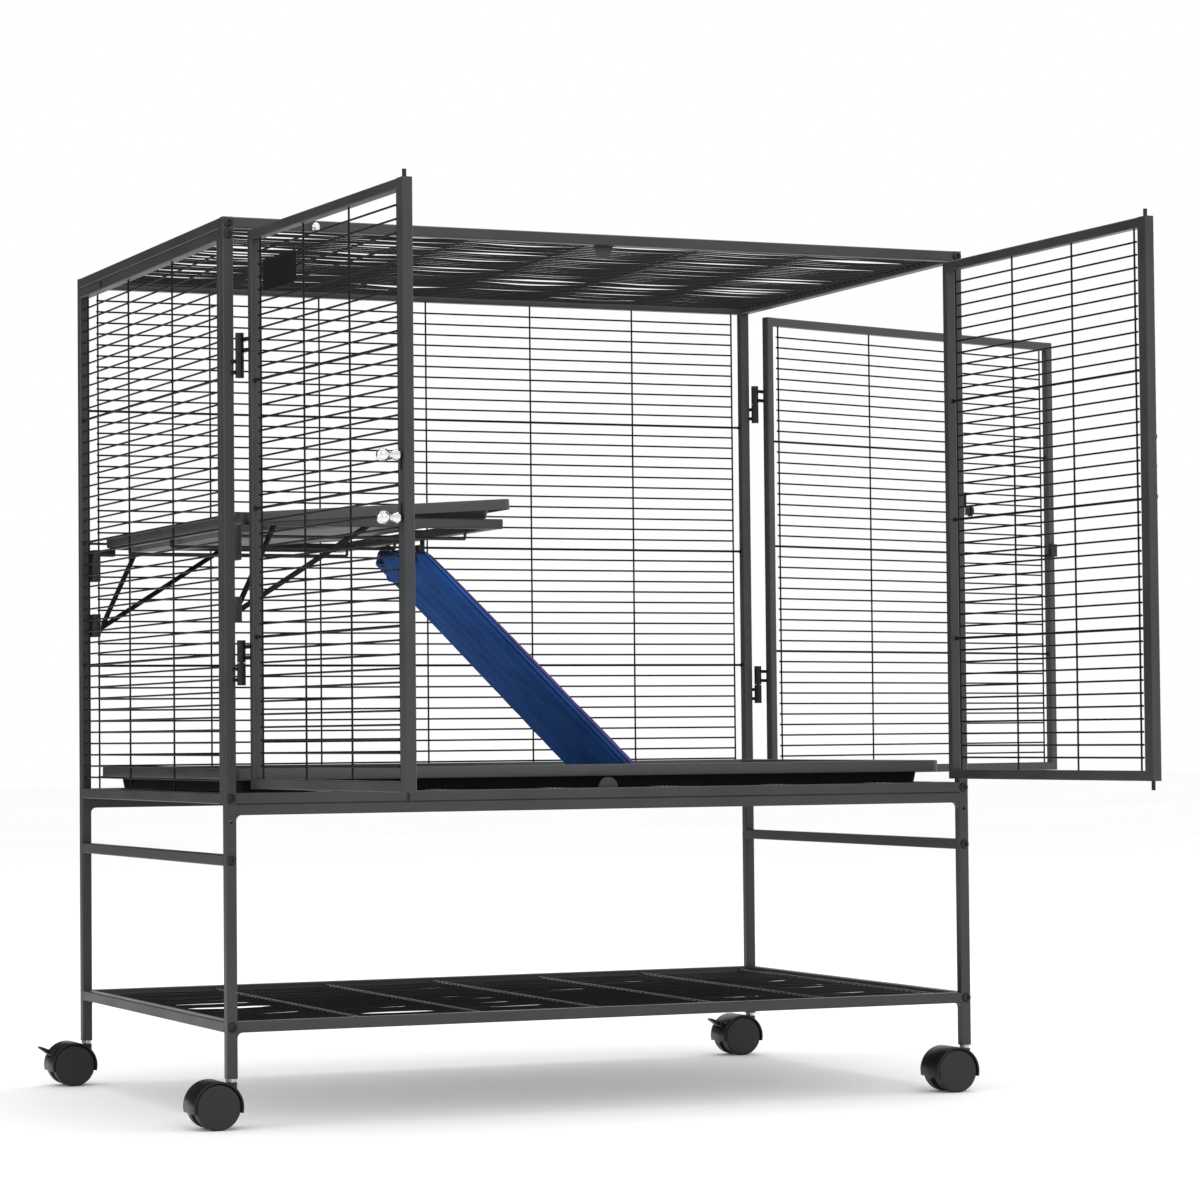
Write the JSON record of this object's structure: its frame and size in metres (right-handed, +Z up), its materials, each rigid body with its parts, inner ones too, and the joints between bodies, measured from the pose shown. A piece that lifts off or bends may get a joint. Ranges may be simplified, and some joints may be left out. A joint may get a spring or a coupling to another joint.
{
  "type": "wheeled ferret cage on a stand",
  "caption": "Tall wire pet cage on a square-tube stand with casters, double front doors, a side door, a half shelf, a covered ramp and removable trays.",
  "frame": {"origin": "centre of the stand's plan, on the floor that the casters stand on", "axes": "+X along the cage's width to the side door, +Y from the front doors to the back, +Z up"},
  "size_m": [1.5204, 1.1977, 0.992],
  "materials": {
    "frame_steel": "satin charcoal powder coat on square steel tube",
    "wire_steel": "satin charcoal powder coat on welded wire",
    "black_fastener": "black coated steel",
    "hinge_steel": "black painted steel",
    "chrome": "polished",
    "zinc_steel": "zinc plated",
    "black_plastic": "matt black moulded plastic",
    "ramp_board": "matt stiff board",
    "ramp_fabric": "soft blue fleece cover with a purple upper side",
    "plate": "plain black plate, left bare",
    "caster_plastic": "black nylon",
    "wheel_plastic": "black nylon wheels"
  },
  "bodies": {
    "cage": {"front_stand_frame": "frame_steel", "back_stand_frame": "frame_steel", "stand_side_rails": "frame_steel", "storage_shelf_rails": "frame_steel", "storage_shelf_wires": "wire_steel", "front_frame": "frame_steel", "back_frame": "frame_steel", "back_wires": "wire_steel", "left_panel_frame": "frame_steel", "left_panel_wires": "wire_steel", "right_bottom_rail": "frame_steel", "top_side_rails": "frame_steel", "top_wires": "wire_steel", "floor_wires": "wire_steel", "door_stop_tabs": "frame_steel", "frame_bolts": "black_fastener", "post_connectors": "zinc_steel", "post_hinge_halves": "hinge_steel", "top_rail_stud": "chrome", "shelf_frame": "frame_steel", "shelf_braces": "wire_steel", "shelf_brackets": "black_plastic", "ramp_hooks": "hinge_steel", "side_latch_pivot": "zinc_steel", "caster_stems": "zinc_steel"},
    "left_door": {"left_door_frame": "frame_steel", "left_door_wires": "wire_steel", "left_door_hinges": "hinge_steel", "nameplate": "plate"},
    "right_door": {"right_door_frame": "frame_steel", "right_door_wires": "wire_steel", "right_door_hinges": "hinge_steel", "right_door_stud": "zinc_steel"},
    "side_door": {"side_door_frame": "frame_steel", "side_door_wires": "wire_steel", "side_door_hinges": "hinge_steel", "side_door_catch": "hinge_steel"},
    "left_upper_latch": {"left_upper_rod": "black_fastener", "left_upper_knob": "chrome"},
    "left_lower_latch": {"left_lower_rod": "black_fastener", "left_lower_knob": "chrome"},
    "right_upper_latch": {"right_upper_rod": "black_fastener", "right_upper_knob": "black_fastener"},
    "right_lower_latch": {"right_lower_rod": "black_fastener", "right_lower_knob": "black_fastener"},
    "side_latch": {"side_latch_turn": "hinge_steel"},
    "floor_tray": {"floor_tray": "black_plastic"},
    "shelf_tray": {"shelf_tray": "black_plastic"},
    "ramp": {"ramp_board": "ramp_board", "ramp_cover": "ramp_fabric"},
    "front_left_swivel": {"front_left_hood": "caster_plastic"},
    "front_left_wheels": {"front_left_wheels": "wheel_plastic"},
    "front_right_swivel": {"front_right_hood": "caster_plastic"},
    "front_right_wheels": {"front_right_wheels": "wheel_plastic"},
    "back_left_swivel": {"back_left_hood": "caster_plastic"},
    "back_left_wheels": {"back_left_wheels": "wheel_plastic"},
    "back_left_brake": {"back_left_brake": "caster_plastic"},
    "back_right_swivel": {"back_right_hood": "caster_plastic"},
    "back_right_wheels": {"back_right_wheels": "wheel_plastic"},
    "back_right_brake": {"back_right_brake": "caster_plastic"}
  },
  "joints": [
    {"name": "left_door_hinge", "type": "hinge", "parent": "cage", "child": "left_door", "pos_m": [-0.4402, -0.3055, 0.66], "axis": [0, 0, -1], "range_deg": [-87, 93]},
    {"name": "right_door_hinge", "type": "hinge", "parent": "cage", "child": "right_door", "pos_m": [0.4402, -0.3055, 0.66], "axis": [0, 0, 1], "range_deg": [-92, 88]},
    {"name": "side_door_hinge", "type": "hinge", "parent": "cage", "child": "side_door", "pos_m": [0.4625, 0.2832, 0.66], "axis": [0, 0, 1], "range_deg": [-108, 72]},
    {"name": "left_upper_latch_slide", "type": "slide", "parent": "left_door", "child": "left_upper_latch", "axis": [0, 0, 1], "range_m": [-0.013, 0]},
    {"name": "left_lower_latch_slide", "type": "slide", "parent": "left_door", "child": "left_lower_latch", "axis": [0, 0, -1], "range_m": [-0.013, 0]},
    {"name": "right_upper_latch_slide", "type": "slide", "parent": "right_door", "child": "right_upper_latch", "axis": [0, 0, 1], "range_m": [-0.013, 0]},
    {"name": "right_lower_latch_slide", "type": "slide", "parent": "right_door", "child": "right_lower_latch", "axis": [0, 0, -1], "range_m": [-0.013, 0]},
    {"name": "side_latch_turn", "type": "hinge", "parent": "cage", "child": "side_latch", "pos_m": [0.463, -0.294, 0.684], "axis": [-1, 0, 0], "range_deg": [0, 90]},
    {"name": "floor_tray_slide", "type": "slide", "parent": "cage", "child": "floor_tray", "axis": [1, 0, 0], "range_m": [0, 0.5]},
    {"name": "shelf_tray_lift", "type": "slide", "parent": "cage", "child": "shelf_tray", "axis": [0, 0, 1], "range_m": [0, 0.15]},
    {"name": "ramp_hinge", "type": "hinge", "parent": "cage", "child": "ramp", "pos_m": [-0.1275, 0.046, 0.646], "axis": [0, -1, 0], "range_deg": [0, 55]},
    {"name": "front_left_caster_swivel", "type": "hinge", "parent": "cage", "child": "front_left_swivel", "pos_m": [-0.451, -0.294, 0.045], "axis": [0, 0, 1], "continuous": true},
    {"name": "front_left_wheels_spin", "type": "hinge", "parent": "front_left_swivel", "child": "front_left_wheels", "pos_m": [-0.471, -0.294, 0.025], "axis": [0, 1, 0], "continuous": true},
    {"name": "front_right_caster_swivel", "type": "hinge", "parent": "cage", "child": "front_right_swivel", "pos_m": [0.451, -0.294, 0.045], "axis": [0, 0, 1], "continuous": true},
    {"name": "front_right_wheels_spin", "type": "hinge", "parent": "front_right_swivel", "child": "front_right_wheels", "pos_m": [0.431, -0.294, 0.025], "axis": [0, 1, 0], "continuous": true},
    {"name": "back_left_caster_swivel", "type": "hinge", "parent": "cage", "child": "back_left_swivel", "pos_m": [-0.451, 0.294, 0.045], "axis": [0, 0, 1], "continuous": true},
    {"name": "back_left_wheels_spin", "type": "hinge", "parent": "back_left_swivel", "child": "back_left_wheels", "pos_m": [-0.471, 0.294, 0.025], "axis": [0, 1, 0], "continuous": true},
    {"name": "back_left_brake_lever", "type": "hinge", "parent": "back_left_swivel", "child": "back_left_brake", "pos_m": [-0.496, 0.294, 0.04], "axis": [0, -1, 0], "range_deg": [0, 20]},
    {"name": "back_right_caster_swivel", "type": "hinge", "parent": "cage", "child": "back_right_swivel", "pos_m": [0.451, 0.294, 0.045], "axis": [0, 0, 1], "continuous": true},
    {"name": "back_right_wheels_spin", "type": "hinge", "parent": "back_right_swivel", "child": "back_right_wheels", "pos_m": [0.431, 0.294, 0.025], "axis": [0, 1, 0], "continuous": true},
    {"name": "back_right_brake_lever", "type": "hinge", "parent": "back_right_swivel", "child": "back_right_brake", "pos_m": [0.406, 0.294, 0.04], "axis": [0, -1, 0], "range_deg": [0, 20]}
  ]
}
